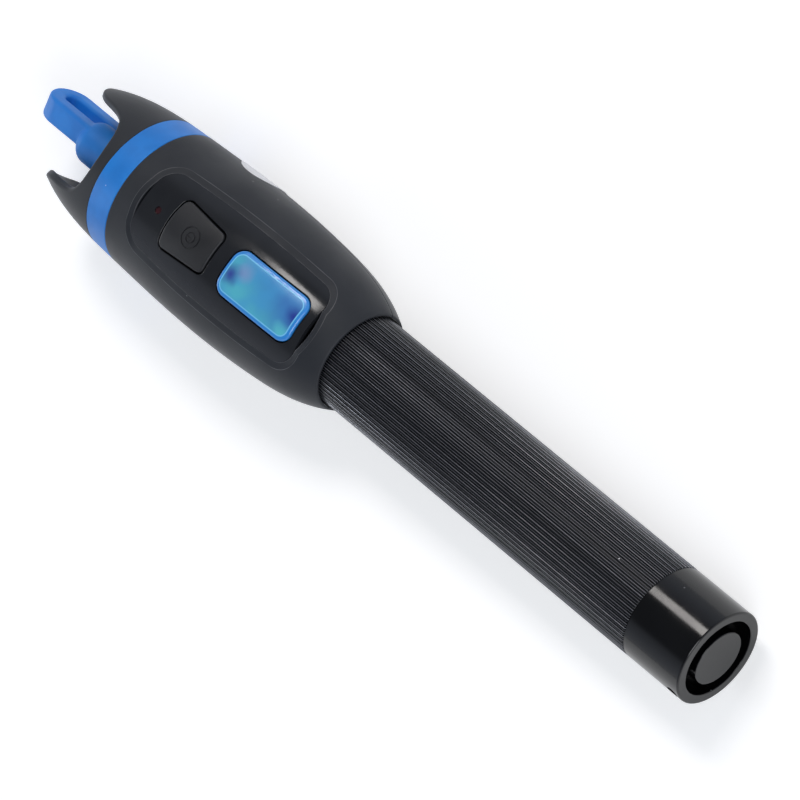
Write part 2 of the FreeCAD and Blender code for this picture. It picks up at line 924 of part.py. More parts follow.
def nose_crown():
    """Crown with two side prongs, its end wall and the sleeve that carries the ring."""
    body = head_slice(crown_start, crown_end, 0)
    body = body.cut(head_slice(end_wall_end, crown_end, crown_wall))
    back_room = rod(crown_start, end_wall_start, sleeve_radius - sleeve_wall)
    sleeve = tube(sleeve_start, crown_start, sleeve_radius, sleeve_radius - sleeve_wall)
    body = body.cut(back_room).fuse(sleeve)
    body = body.cut(rod(end_wall_start, end_wall_end, port_neck_radius + running_clearance))
    wave = Part.makeRuledSurface(crown_edge_curve(belly_radius * 0.45), crown_edge_curve(belly_radius * 1.4))
    body = body.cut(wave.extrude(V(far, 0, 0))).removeSplitter()
    edges = []
    for edge in body.Edges:
        box = edge.BoundBox
        if box.XMin > end_wall_start and box.XMax - box.XMin > prong_rise / 2:
            edges.append(edge)
    body = body.makeFillet(crown_edge_rounding, edges)
    return body.makeFillet(parting_edge_radius, rim_edges(body, crown_start, ring_front_radius))


# ---- dust cap -------------------------------------------------------------------------------
def pull_loop():
    """Flat rounded loop that leans and drops a little; its lower arm starts on the skirt."""
    outer = loop_height / 2
    inner = outer - loop_wall
    rear = dome_start - lower_arm_length
    hole_centre = loop_centre + outer - loop_tip_wall - inner
    outline = Part.makeBox(loop_centre - rear, loop_width, loop_height, V(rear, 0, -outer))
    bend = Part.makeCylinder(outer, loop_width, V(loop_centre, 0, 0), Y_AXIS)
    above_skirt = Part.makeBox(dome_start - rear, loop_width, outer, V(rear, 0, 0))
    loop = outline.fuse(bend).cut(above_skirt)
    hole = Part.makeBox(hole_centre - rear, loop_width, 2 * inner, V(rear, 0, -inner))
    hole_end = Part.makeCylinder(inner, loop_width, V(hole_centre, 0, 0), Y_AXIS)
    loop = loop.cut(hole.fuse(hole_end)).removeSplitter()
    side_edges = []
    for edge in loop.Edges:
        if edge.BoundBox.YMax - edge.BoundBox.YMin < surface_tolerance:
            side_edges.append(edge)
    loop = loop.makeFillet(loop_edge_radius, side_edges)
    loop.translate(V(0, -loop_width / 2 - loop_lean, -loop_drop))
    loop.rotate(V(0, 0, 0), X_AXIS, -loop_roll)
    return loop


def dust_cap():
    """Soft cap over the port, with a domed end and a pull loop."""
    skirt = rod(cap_start, dome_start, dust_cap_radius)
    dome = Part.makeSphere(dust_cap_radius, V(0, 0, 0))
    stretch = FreeCAD.Matrix()
    stretch.scale(dome_height / dust_cap_radius, 1, 1)
    dome = dome.transformGeometry(stretch)
    dome.translate(V(dome_start, 0, 0))
    body = skirt.fuse([dome, pull_loop()])
    body = body.cut(rod(cap_start, port_end + dust_cap_end_gap, port_barrel_radius + dust_cap_fit))
    return body


def side_label():
    """Blank round label over the side seam of the shells."""
    angle = math.radians(label_angle)
    outward = V(0, -math.sin(angle), math.cos(angle))
    x = ring_start - label_front_distance
    disc = Part.makeCylinder(label_radius, far, V(x, 0, 0), outward)
    return head_layer(-label_thickness - bedding_gap, -bedding_gap).common(disc)


NODES = {
    "tail_cap": tail_cap,
    "tail_o_ring": tail_o_ring,
    "tail_contact": tail_contact,
    "tail_spring": tail_spring,
    "barrel": barrel,
    "battery_rear": battery_rear,
    "battery_front": battery_front,
    "front_contact": front_contact,
    "contact_carrier": contact_carrier,
    "upper_shell": upper_shell,
    "lower_shell": lower_shell,
    "shell_screws": shell_screws,
    "control_panel": control_panel,
    "badge": badge,
    "power_button": power_button,
    "indicator_lens": indicator_lens,
    "indicator_led": indicator_led,
    "circuit_board": circuit_board,
    "tactile_switch": tactile_switch,
    "switch_plunger": switch_plunger,
    "laser_housing": laser_housing,
    "laser_diode": laser_diode,
    "focusing_lens": focusing_lens,
    "lens_retainer": lens_retainer,
    "ferrule_port": ferrule_port,
    "alignment_sleeve": alignment_sleeve,
    "port_nut": port_nut,
    "accent_ring": accent_ring,
    "nose_crown": nose_crown,
    "dust_cap": dust_cap,
    "side_label": side_label,
}

os.makedirs("parts", exist_ok=True)
for name, make in NODES.items():
    shape = make()
    shape.exportStep("parts/" + name + ".step")
    box = shape.BoundBox
    print(
        name,
        "solids", len(shape.Solids),
        "valid", shape.isValid(),
        "volume", round(shape.Volume, 2),
        "x", round(box.XMin, 2), round(box.XMax, 2),
        "z", round(box.ZMin, 2), round(box.ZMax, 2),
    )
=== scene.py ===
import bpy
import bmesh
import math
import numpy as np
from mathutils import Matrix, Vector


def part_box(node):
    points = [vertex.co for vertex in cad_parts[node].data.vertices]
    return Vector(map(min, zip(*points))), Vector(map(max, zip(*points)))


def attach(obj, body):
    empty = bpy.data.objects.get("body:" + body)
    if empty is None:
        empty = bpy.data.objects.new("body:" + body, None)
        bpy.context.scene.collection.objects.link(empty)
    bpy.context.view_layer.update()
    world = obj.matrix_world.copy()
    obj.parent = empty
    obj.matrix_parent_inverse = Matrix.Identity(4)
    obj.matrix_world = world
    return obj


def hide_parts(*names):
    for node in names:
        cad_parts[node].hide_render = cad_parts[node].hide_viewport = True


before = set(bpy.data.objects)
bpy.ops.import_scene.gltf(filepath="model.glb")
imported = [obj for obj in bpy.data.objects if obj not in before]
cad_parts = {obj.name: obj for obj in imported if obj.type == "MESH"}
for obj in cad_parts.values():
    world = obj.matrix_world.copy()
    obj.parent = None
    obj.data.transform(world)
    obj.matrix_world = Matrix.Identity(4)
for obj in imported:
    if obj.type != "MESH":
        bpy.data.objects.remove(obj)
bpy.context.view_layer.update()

mm = 0.001


# ---- camera ------------------------------------------------------------------------------
# A long lens stands behind the tail and above it, and looks along the pen to its nose.
# Right, up and back are the camera's own axes, each written in the pen's frame.
camera_data = bpy.data.cameras.new("camera")
camera_data.lens = 266.3
camera_data.sensor_width = 36.0
camera_data.clip_end = 50.0
camera = bpy.data.objects.new("camera", camera_data)
camera_right = (-0.65815, -0.57305, -0.48830)
camera_up = (0.54465, -0.81017, 0.21670)
camera_back = (-0.51979, -0.12333, 0.84534)
camera_place = (-0.4648, -0.1291, 0.8892)
camera_turn = Matrix((camera_right, camera_up, camera_back)).transposed().to_4x4()
camera.matrix_world = Matrix.Translation(camera_place) @ camera_turn
bpy.context.scene.collection.objects.link(camera)
bpy.context.scene.camera = camera
bpy.context.scene.view_settings.view_transform = "Standard"


# ---- floor and studio light ----------------------------------------------------------------
# The pen lies on a pale sheet that tilts with its resting flat. A softbox along the pen
# gives the streak on its gloss, two more fill in, and a pale room lights the rest.
def finish(name, colour, roughness, metallic=0.0, **sockets):
    """New finish: a material, its node tree and its shader with the plain values set."""
    material = bpy.data.materials.new(name)
    material.use_nodes = True
    shader = material.node_tree.nodes["Principled BSDF"]
    shader.inputs["Base Color"].default_value = (*colour, 1.0)
    shader.inputs["Roughness"].default_value = roughness
    shader.inputs["Metallic"].default_value = metallic
    for label, value in sockets.items():
        shader.inputs[label.replace("_", " ")].default_value = value
    return material, material.node_tree, shader


def work(tree, operation, first, second=0.0, third=0.0):
    """One step of arithmetic in a node tree, on sockets or plain numbers."""
    node = tree.nodes.new("ShaderNodeMath")
    node.operation = operation
    for socket, value in zip(node.inputs, (first, second, third)):
        if isinstance(value, bpy.types.NodeSocket):
            tree.links.new(value, socket)
        else:
            socket.default_value = value
    return node.outputs[0]


rest_tilt = math.radians(1.9893)
floor_slope = math.tan(rest_tilt)
floor_drop = 0.0095
floor_reach = 3.0
floor_corners = [
    (x, y, -floor_drop - x * floor_slope)
    for x, y in ((-floor_reach, -floor_reach), (floor_reach, -floor_reach),
                 (floor_reach, floor_reach), (-floor_reach, floor_reach))
]
floor_mesh = bpy.data.meshes.new("floor")
floor_mesh.from_pydata(floor_corners, [], [(0, 1, 2, 3)])
floor = bpy.data.objects.new("floor", floor_mesh)
bpy.context.scene.collection.objects.link(floor)
paper, tree, shader = finish("pale paper", (0.80, 0.80, 0.80), 0.9)
light_path = tree.nodes.new("ShaderNodeLightPath").outputs
seen = work(tree, "MULTIPLY", light_path["Is Camera Ray"], 0.46)
mirrored = work(tree, "MULTIPLY", light_path["Is Glossy Ray"], 0.36)
through = work(tree, "MULTIPLY", light_path["Is Transmission Ray"], 0.22)
glow = work(tree, "ADD", work(tree, "ADD", seen, mirrored), through)
tree.links.new(glow, shader.inputs["Emission Strength"])
shader.inputs["Emission Color"].default_value = (1.0, 1.0, 1.0, 1.0)
floor_mesh.materials.append(paper)

world = bpy.data.worlds.new("pale room")
bpy.context.scene.world = world
world.use_nodes = True
tree = world.node_tree
direction = tree.nodes.new("ShaderNodeTexCoord").outputs["Generated"]
height = tree.nodes.new("ShaderNodeSeparateXYZ")
tree.links.new(direction, height.inputs[0])
room = tree.nodes.new("ShaderNodeValToRGB")
tree.links.new(height.outputs["Z"], room.inputs["Fac"])
room.color_ramp.elements[0].color = (0.60, 0.63, 0.69, 1.0)
room.color_ramp.elements[1].color = (0.13, 0.14, 0.16, 1.0)
cool_cast = (0.93, 1.0, 1.16)
for place, level in ((0.30, 0.52), (0.55, 0.38), (0.66, 0.12)):
    stop = room.color_ramp.elements.new(place)
    stop.color = (*(level * part for part in cool_cast), 1.0)
tree.links.new(room.outputs["Color"], tree.nodes["Background"].inputs["Color"])


def softbox(name, toward, distance, slide, length, width, watts, colour):
    """Flat lamp with its length along the pen. It faces the pen's middle from its own
    distance, and slide then moves it along its length without turning it."""
    middle = Vector((0.09, 0.0, 0.0))
    back = Vector(toward).normalized()
    along = (Vector((1.0, 0.0, 0.0)) - back * back.x).normalized()
    lamp_data = bpy.data.lights.new(name, "AREA")
    lamp_data.shape = "RECTANGLE"
    lamp_data.size, lamp_data.size_y = length, width
    lamp_data.energy = watts
    lamp_data.color = colour
    lamp = bpy.data.objects.new(name, lamp_data)
    turn = Matrix((along, back.cross(along), back)).transposed().to_4x4()
    lamp.matrix_world = Matrix.Translation(middle + back * distance + along * slide) @ turn
    bpy.context.scene.collection.objects.link(lamp)


warm_white, cool_white = (1.0, 0.965, 0.94), (0.95, 0.98, 1.0)
softbox("streak box", toward=(0.469, -0.466, 0.750), distance=1.2, slide=-0.302,
        length=0.5, width=0.32, watts=5.2, colour=warm_white)
softbox("fill box", toward=(-0.75, 0.10, 0.60), distance=1.4, slide=0.0,
        length=0.7, width=0.7, watts=8.0, colour=cool_white)
softbox("nose box", toward=(0.86, 0.42, 0.28), distance=0.75, slide=0.0,
        length=0.3, width=0.3, watts=1.0, colour=cool_white)


# ---- grip barrel ---------------------------------------------------------------------------
# Aluminium tube turned to size, milled with straight ribs and anodised black. The tail
# cap screws into its rear end, and its plain front end is clamped in the head's collar.
def grid_faces(rows, columns, close_rows, close_columns):
    """Four-cornered faces of a grid, where a closed way runs back to its start."""
    row = np.arange(rows if close_rows else rows - 1)
    column = np.arange(columns if close_columns else columns - 1)
    row, column = np.meshgrid(row, column, indexing="ij")
    next_row, next_column = (row + 1) % rows, (column + 1) % columns
    corners = (row * columns + column, row * columns + next_column,
               next_row * columns + next_column, next_row * columns + column)
    return np.stack(corners, -1).reshape(-1, 4)


def new_piece(name, points, faces, crease):
    """Object from points in millimetres and closed faces, smooth up to a crease angle."""
    mesh = bpy.data.meshes.new(name)
    mesh.from_pydata((points.reshape(-1, 3) * mm).tolist(), [], faces.tolist())
    shape = bmesh.new()
    shape.from_mesh(mesh)
    bmesh.ops.recalc_face_normals(shape, faces=shape.faces)
    shape.to_mesh(mesh)
    shape.free()
    mesh.polygons.foreach_set("use_smooth", np.ones(len(mesh.polygons), dtype=bool))
    mesh.set_sharp_from_angle(angle=math.radians(crease))
    piece = bpy.data.objects.new(name, mesh)
    bpy.context.scene.collection.objects.link(piece)
    return piece


def span(node):
    """Start and end of a node along the pen, in millimetres."""
    low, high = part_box(node)
    return low[0] / mm, high[0] / mm


barrel_start, barrel_end = span("barrel")
head_start = span("upper_shell")[0]
rib_count = 63
grip_radius = 9.5
rib_depth = 0.36
rib_end_chamfer = 0.12
grip_end = head_start + 3.0
seat_radius, seat_chamfer = 9.08, 0.2
bore_radius = 7.4
thread_radius, thread_reach, mouth_chamfer = 8.3, 7.0, 0.1

# One rib and the groove behind it: distance round the grip, and radius.
rib_section = np.array([
    (-0.36, 9.14), (-0.30, 9.20), (-0.29, 9.40), (-0.27, 9.46), (-0.235, 9.494), (-0.18, 9.5),
    (0.0, 9.5), (0.18, 9.5), (0.235, 9.494), (0.27, 9.46), (0.29, 9.40), (0.30, 9.20),
    (0.36, 9.14), (0.4737, 9.14),
])

# Once round the wall, from the rear mouth over the grip, the seat and back through the
# bore: station, radius, and how deep the ribs are there.
barrel_stations = np.array([
    (barrel_start, thread_radius + mouth_chamfer, 0),
    (barrel_start, grip_radius - rib_end_chamfer, rib_depth - rib_end_chamfer),
    (barrel_start + rib_end_chamfer, grip_radius, rib_depth),
    (grip_end - rib_end_chamfer, grip_radius, rib_depth),
    (grip_end, grip_radius - rib_end_chamfer, rib_depth - rib_end_chamfer),
    (grip_end, seat_radius, 0),
    (barrel_end - seat_chamfer, seat_radius, 0),
    (barrel_end, seat_radius - seat_chamfer, 0),
    (barrel_end, bore_radius, 0),
    (barrel_start + thread_reach, bore_radius, 0),
    (barrel_start + thread_reach, thread_radius, 0),
    (barrel_start + mouth_chamfer, thread_radius, 0),
])


def ribbed_tube(stations, section, count):
    """Tube surface: at each station the radius is that station's own, less its share of
    the rib section's fall, so one grid holds the ribs, the plain seat and the bore."""
    turn = np.radians(360.0 / count) * np.arange(count)[:, None] + section[:, 0] / grip_radius
    turn = turn.ravel()
    fall = np.tile(grip_radius - section[:, 1], count) / rib_depth
    radius = stations[:, 1, None] - stations[:, 2, None] * fall
    x = np.broadcast_to(stations[:, 0, None], radius.shape)
    return np.stack([x, radius * np.sin(turn), radius * np.cos(turn)], -1)


points = ribbed_tube(barrel_stations, rib_section, rib_count)
barrel_faces = grid_faces(*points.shape[:2], close_rows=True, close_columns=True)
barrel = new_piece("ribbed_barrel", points, barrel_faces, crease=42)
# Points on the ribs' rounded edges along the grip: there the ribs carry pale lines, partly edge
# wear and partly painted highlight.
grip_stations, rounded_edges = slice(1, 5), [3, 4, 8, 9]
edge_share = np.zeros((len(barrel_stations), rib_count, len(rib_section)))
edge_share[grip_stations, :, rounded_edges] = 1.0
rib_edge_wear_and_highlight = barrel.data.attributes.new("rib_edge_wear_and_highlight", "FLOAT", "POINT")
rib_edge_wear_and_highlight.data.foreach_set("value", edge_share.ravel())
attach(barrel, "housing")
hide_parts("barrel")

VECTOR, NUMBER = "NodeSocketVector", "NodeSocketFloat"


def effect(name, ways_in, ways_out):
    """Empty shared effect, with the sockets of its two ends."""
    group = bpy.data.node_groups.new(name, "ShaderNodeTree")
    for label, kind in ways_in.items():
        group.interface.new_socket(label, in_out="INPUT", socket_type=kind)
    for label in ways_out:
        group.interface.new_socket(label, in_out="OUTPUT", socket_type=NUMBER)
    start, end = group.nodes.new("NodeGroupInput"), group.nodes.new("NodeGroupOutput")
    return group, start.outputs, end.inputs


def noise_in(tree, place, scale, detail):
    """Cloud noise at a place in a node tree; its scale may be a socket or a number."""
    noise = tree.nodes.new("ShaderNodeTexNoise")
    tree.links.new(place, noise.inputs["Vector"])
    noise.inputs["Detail"].default_value = detail
    if isinstance(scale, bpy.types.NodeSocket):
        tree.links.new(scale, noise.inputs["Scale"])
    else:
        noise.inputs["Scale"].default_value = scale
    return noise.outputs["Fac"]


def between(tree, value, low, high, start, end):
    """Value carried from the range low to high onto the range start to end, smoothly."""
    node = tree.nodes.new("ShaderNodeMapRange")
    node.interpolation_type = "SMOOTHSTEP"
    for label, number in zip(("Value", "From Min", "From Max", "To Min", "To Max"),
                             (value, low, high, start, end)):
        if isinstance(number, bpy.types.NodeSocket):
            tree.links.new(number, node.inputs[label])
        else:
            node.inputs[label].default_value = number
    return node.outputs["Result"]


def axes_in(tree, place):
    """The X, Y and Z of a place in a node tree: along, across and above the pen's axis."""
    split = tree.nodes.new("ShaderNodeSeparateXYZ")
    tree.links.new(place, split.inputs[0])
    return split.outputs


def distance(tree, across, above):
    """Straight distance from two distances at right angles: the root of their squares."""
    squares = work(tree, "MULTIPLY_ADD", across, across, work(tree, "MULTIPLY", above, above))
    return work(tree, "SQRT", squares)


# Fine grain: the texture that a mould or a blasting leaves, as a height.
grain, way_in, way_out = effect("fine grain", {"Place": VECTOR, "Fineness": NUMBER}, ["Height"])
bumps = noise_in(grain, way_in["Place"], way_in["Fineness"], detail=3.0)
grain.links.new(bumps, way_out["Height"])

# Handling: a value that changes from patch to patch, as gloss does where hands have been.
handling, way_in, way_out = effect(
    "handling", {"Place": VECTOR, "Patches": NUMBER, "Low": NUMBER, "High": NUMBER}, ["Value"])
clouds = noise_in(handling, way_in["Place"], way_in["Patches"], detail=5.0)
handled = between(handling, clouds, 0.35, 0.65, way_in["Low"], way_in["High"])
handling.links.new(handled, way_out["Value"])

# Dust: a few tiny specks, far apart, where a random cell says so.
dust, way_in, way_out = effect(
    "dust", {"Place": VECTOR, "Cells": NUMBER, "Size": NUMBER, "Share": NUMBER}, ["Mask"])
cells = dust.nodes.new("ShaderNodeTexVoronoi")
dust.links.new(way_in["Place"], cells.inputs["Vector"])
dust.links.new(way_in["Cells"], cells.inputs["Scale"])
chance = dust.nodes.new("ShaderNodeSeparateColor")
dust.links.new(cells.outputs["Color"], chance.inputs[0])
near = work(dust, "LESS_THAN", cells.outputs["Distance"], way_in["Size"])
picked = work(dust, "LESS_THAN", chance.outputs[0], way_in["Share"])
dust.links.new(work(dust, "MULTIPLY", near, picked), way_out["Mask"])

# Turning lines: fine rings about the pen's axis, on faces and on round sides alike.
turning, way_in, way_out = effect(
    "turning lines", {"Place": VECTOR, "Fineness": NUMBER}, ["Height"])
along, across, above = axes_in(turning, way_in["Place"])
lines = turning.nodes.new("ShaderNodeTexNoise")
lines.noise_dimensions = "1D"
lines.inputs["Detail"].default_value = 2.0
turning.links.new(way_in["Fineness"], lines.inputs["Scale"])
out_and_along = work(turning, "ADD", along, distance(turning, across, above))
turning.links.new(out_and_along, lines.inputs["W"])
turning.links.new(lines.outputs["Fac"], way_out["Height"])


def place_in(tree):
    """The pen's own coordinates inside a material."""
    return tree.nodes.new("ShaderNodeTexCoord").outputs["Object"]


def put(tree, group, **values):
    """A shared effect placed in a material with its own values; returns its result."""
    node = tree.nodes.new("ShaderNodeGroup")
    node.node_tree = group
    tree.links.new(place_in(tree), node.inputs["Place"])
    for label, value in values.items():
        node.inputs[label].default_value = value
    return node.outputs[0]


def tint(tree, share, first, second):
    """Colour between two others, by a share from 0 to 1."""
    node = tree.nodes.new("ShaderNodeMix")
    node.data_type = "RGBA"
    tree.links.new(share, node.inputs[0])
    for socket, value in ((node.inputs[6], first), (node.inputs[7], second)):
        if isinstance(value, bpy.types.NodeSocket):
            tree.links.new(value, socket)
        else:
            socket.default_value = (*value, 1.0)
    return node.outputs[2]


def relief(tree, shader, height, depth):
    """Bump of a given depth, in metres, on the whole surface."""
    bump = tree.nodes.new("ShaderNodeBump")
    bump.inputs["Distance"].default_value = depth
    tree.links.new(height, bump.inputs["Height"])
    tree.links.new(bump.outputs["Normal"], shader.inputs["Normal"])


def grained(tree, shader, fineness, depth):
    """Fine grain on the whole surface, as relief of a given depth."""
    relief(tree, shader, put(tree, grain, Fineness=fineness), depth)


def glossed(tree, shader, patches, low, high):
    """Roughness between two values, in patches that handling leaves."""
    rough = put(tree, handling, Patches=patches, Low=low, High=high)
    tree.links.new(rough, shader.inputs["Roughness"])


def clouded(tree, patches, deep, pale):
    """Shade that drifts between two close colours."""
    return tint(tree, put(tree, handling, Patches=patches, Low=0.0, High=1.0), deep, pale)


def paint(tree, shader, colour):
    """Lead a colour to the shader's own colour."""
    tree.links.new(colour, shader.inputs["Base Color"])


def dress(material, *nodes):
    """Give CAD nodes a finish in place of the plain one they came with."""
    for name in nodes:
        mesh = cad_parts[name].data
        mesh.materials.clear()
        mesh.materials.append(material)


anodised, tree, shader = finish(
    "black anodised ribs", (0.006, 0.0066, 0.0085), 0.3, Specular_IOR_Level=0.16)
# Pale bare-metal lines on the rib edges: partly worn anodising, partly painted highlight lines
# that the lamps alone don't put there.
edge = tree.nodes.new("ShaderNodeAttribute")
edge.attribute_name = "rib_edge_wear_and_highlight"
stretch = tree.nodes.new("ShaderNodeMapping")
stretch.inputs["Scale"].default_value = (0.012, 1.0, 1.0)
tree.links.new(place_in(tree), stretch.inputs["Vector"])
line_patches = noise_in(tree, stretch.outputs["Vector"], scale=700.0, detail=3.0)
worn_and_highlit = work(tree, "MULTIPLY", edge.outputs["Fac"], between(tree, line_patches, 0.34, 0.64, 0.35, 1.0))
specks = put(tree, dust, Cells=900.0, Size=0.14, Share=0.006)
wear_dust_and_highlight = work(tree, "MAXIMUM", work(tree, "MULTIPLY", worn_and_highlit, 0.9), specks)
black = clouded(tree, 90.0, (0.0034, 0.0040, 0.0058), (0.0054, 0.0061, 0.0084))
bare_metal_and_highlight = (0.40, 0.41, 0.45)
paint(tree, shader, tint(tree, wear_dust_and_highlight, black, bare_metal_and_highlight))
tree.links.new(work(tree, "MULTIPLY", wear_dust_and_highlight, 0.85), shader.inputs["Metallic"])
glossed(tree, shader, patches=55.0, low=0.30, high=0.36)
grained(tree, shader, fineness=5200.0, depth=0.0000015)
barrel.data.materials.append(anodised)


# ---- tail cap and its sealing ring -----------------------------------------------------------
# Aluminium cap turned and bored on a lathe, polished and anodised gloss black. It screws
# into the barrel, and a rubber ring in its groove keeps water out of the thread.
gloss, tree, shader = finish("gloss black cap", (0.0016, 0.0018, 0.0024), 0.16)
along, across, above = axes_in(tree, place_in(tree))
thread_start, thread_pitch, thread_depth = 15.4 * mm, 1.0 * mm, 0.6 * mm
turned = work(tree, "DIVIDE", work(tree, "ARCTAN2", across, above), 2 * math.pi)
wind = work(tree, "ADD", work(tree, "DIVIDE", along, thread_pitch), turned)
on_spigot = work(tree, "GREATER_THAN", along, thread_start)
thread = work(tree, "MULTIPLY", work(tree, "PINGPONG", wind, 0.5), on_spigot)
rings = work(tree, "MULTIPLY", put(tree, turning, Fineness=9000.0), 0.004)
relief(tree, shader, work(tree, "ADD", thread, rings), thread_depth)
specks = put(tree, dust, Cells=420.0, Size=0.07, Share=0.10)
black = clouded(tree, 70.0, (0.0013, 0.0014, 0.0017), (0.0022, 0.0023, 0.0027))
paint(tree, shader, tint(tree, specks, black, (0.10, 0.10, 0.105)))
glossed(tree, shader, patches=130.0, low=0.14, high=0.18)
dress(gloss, "tail_cap")

rubber, tree, shader = finish("ring rubber", (0.012, 0.012, 0.012), 0.55)
grained(tree, shader, fineness=4000.0, depth=0.00002)
glossed(tree, shader, patches=300.0, low=0.4, high=0.65)
dress(rubber, "tail_o_ring")


# ---- cells, spring and contacts --------------------------------------------------------------
# Two size AA cells lie end to end in the barrel. A conical spring on a brass disc in the
# tail cap presses them forwards onto a brass disc in the head's plastic carrier.
def turned_metal(name, colour, roughness, fineness):
    """Bare metal with its turning lines and the dull patches that handling leaves."""
    material, tree, shader = finish(name, colour, roughness, metallic=1.0)
    relief(tree, shader, put(tree, turning, Fineness=fineness), 0.00001)
    glossed(tree, shader, patches=400.0, low=roughness * 0.8, high=roughness * 1.5)
    dull = tuple(0.7 * part for part in colour)
    patches = put(tree, handling, Patches=150.0, Low=0.0, High=0.6)
    paint(tree, shader, tint(tree, patches, colour, dull))
    return material


contact_brass = turned_metal("contact brass", (0.80, 0.58, 0.25), 0.25, fineness=6000.0)
dress(contact_brass, "tail_contact", "front_contact")
spring_steel = turned_metal("spring steel", (0.55, 0.54, 0.52), 0.28, fineness=9000.0)
dress(spring_steel, "tail_spring")

cell, tree, shader = finish("cell jacket", (0.02, 0.02, 0.022), 0.3)
along, across, above = axes_in(tree, place_in(tree))
cell_start = span("battery_rear")[0] * mm
cell_length = (span("battery_rear")[1] - span("battery_rear")[0]) * mm
band_start, bare_end_radius = 37.0 * mm, 6.6 * mm
along_cell = work(tree, "MODULO", work(tree, "SUBTRACT", along, cell_start), cell_length)
band = work(tree, "GREATER_THAN", along_cell, band_start)
ends = work(tree, "LESS_THAN", distance(tree, across, above), bare_end_radius)
black, copper, steel = (0.02, 0.021, 0.024), (0.42, 0.20, 0.07), (0.62, 0.62, 0.60)
paint(tree, shader, tint(tree, ends, tint(tree, band, black, copper), steel))
tree.links.new(ends, shader.inputs["Metallic"])
glossed(tree, shader, patches=200.0, low=0.22, high=0.38)
grained(tree, shader, fineness=900.0, depth=0.00002)
dress(cell, "battery_rear", "battery_front")

carrier, tree, shader = finish("carrier plastic", (0.03, 0.03, 0.032), 0.5)
grained(tree, shader, fineness=3500.0, depth=0.00002)
glossed(tree, shader, patches=150.0, low=0.42, high=0.58)
dress(carrier, "contact_carrier")


# ---- head shells -----------------------------------------------------------------------------
# Two moulded halves in fine matte plastic, parted at the sides, with a thin rear rim over
# the barrel. The upper half has a sunk window with a soft bevel for the control panel.
ring_start, crown_start = span("accent_ring")
crown_length = 17.9
form_x = np.array([
    head_start, head_start + 4.6, head_start + 9.3, head_start + 16.0, head_start + 34.0,
    ring_start, crown_start, crown_start + 9.75, crown_start + crown_length,
])
form_r = np.array([10.25, 12.2, 13.4, 14.26, 15.04, 14.33, 14.02, 12.76, 10.15])


def smooth_through(knots, values, wanted):
    """Cubic curve through values at knots, with its second slope even at both ends: the
    knots' second slopes come from one set of equations, one for each inner knot."""
    step = np.diff(knots)
    count = len(knots)
    system = np.zeros((count, count))
    known = np.zeros(count)
    inner = np.arange(1, count - 1)
    system[inner, inner - 1] = step[:-1]
    system[inner, inner] = 2 * (step[:-1] + step[1:])
    system[inner, inner + 1] = step[1:]
    known[inner] = 6 * (np.diff(values)[1:] / step[1:] - np.diff(values)[:-1] / step[:-1])
    system[0, :3] = (step[1], -(step[0] + step[1]), step[0])
    system[-1, -3:] = (step[-1], -(step[-2] + step[-1]), step[-2])
    bend = np.linalg.solve(system, known)
    left = np.clip(np.searchsorted(knots, wanted) - 1, 0, count - 2)
    right = left + 1
    width = step[left]
    after, before = wanted - knots[left], knots[right] - wanted
    return (
        (bend[left] * before**3 + bend[right] * after**3) / (6 * width)
        + (values[left] / width - bend[left] * width / 6) * before
        + (values[right] / width - bend[right] * width / 6) * after
    )


form_steps = 4000
form_reach = np.concatenate([[0.0], np.cumsum(np.hypot(np.diff(form_x), np.diff(form_r)))])
form_run = np.linspace(0.0, form_reach[-1], form_steps)
form_curve_x = smooth_through(form_reach, form_x, form_run)
form_curve_r = smooth_through(form_reach, form_r, form_run)


def head_radius(x):
    """Outer radius of the head at a station along the pen."""
    return np.interp(x, form_curve_x, form_curve_r)


window_rear, window_front = span("control_panel")
window_corner = 4.0
rear_half, side_taper, side_bow = 8.1, 0.5, 3.8
corner_points, side_points = 60, 200


def window_side(x):
    """Half-width of a long side at a station, and its normal. The side narrows evenly
    to the front and is bowed outwards by a parabola."""
    share = (x - window_rear) / (window_front - window_rear)
    half = rear_half - side_taper * share + side_bow * share * (1 - share)
    slope = (-side_taper + side_bow * (1 - 2 * share)) / (window_front - window_rear)
    length = np.hypot(1.0, slope)
    return half, -slope / length, 1.0 / length


def window_outline(grow):
    """Plan outline of the window moved out by grow: each side point goes along its
    normal, and each corner is an arc about a centre that stays where it is."""
    reach = window_corner + grow
    ends = []
    for end, way in ((window_front, 1.0), (window_rear, -1.0)):
        x = end - way * window_corner
        x += window_corner * window_side(x)[1]
        half, across, out = window_side(x)
        lean = math.atan2(out, across)
        first, last = (0.0, lean) if way > 0 else (lean, math.pi)
        turn = np.linspace(first, last, corner_points)
        centre = (end - way * window_corner, half - window_corner * out)
        arc = np.stack([centre[0] + reach * np.cos(turn), centre[1] + reach * np.sin(turn)], -1)
        ends.append((x, arc))
    x = np.linspace(ends[0][0], ends[1][0], side_points)[1:-1]
    half, across, out = window_side(x)
    side = np.stack([x + grow * across, half + grow * out], -1)
    upper = np.concatenate([ends[0][1], side, ends[1][1]])
    return np.concatenate([upper, upper[::-1] * (1, -1)])


shell_middle = (head_start + ring_start) / 2
shell_half = (ring_start - head_start) / 2
half_seam = 0.05
seam_arc = 22.0


def seam_turn(x):
    """Angle from the top down to the parting plane at a station."""
    return np.arccos(half_seam / head_radius(x))


def window_reach(grow, rays):
    """Share of the way from the shell's middle to its edge where each ray, drawn on the
    unrolled shell, meets the window's outline."""
    x, y = window_outline(grow).T
    along = (x - shell_middle) / shell_half
    around = np.arcsin(y / head_radius(x)) / seam_turn(x)
    angle = np.unwrap(np.arctan2(around, along))
    return np.interp(rays, angle, np.hypot(along, around), period=2 * np.pi)


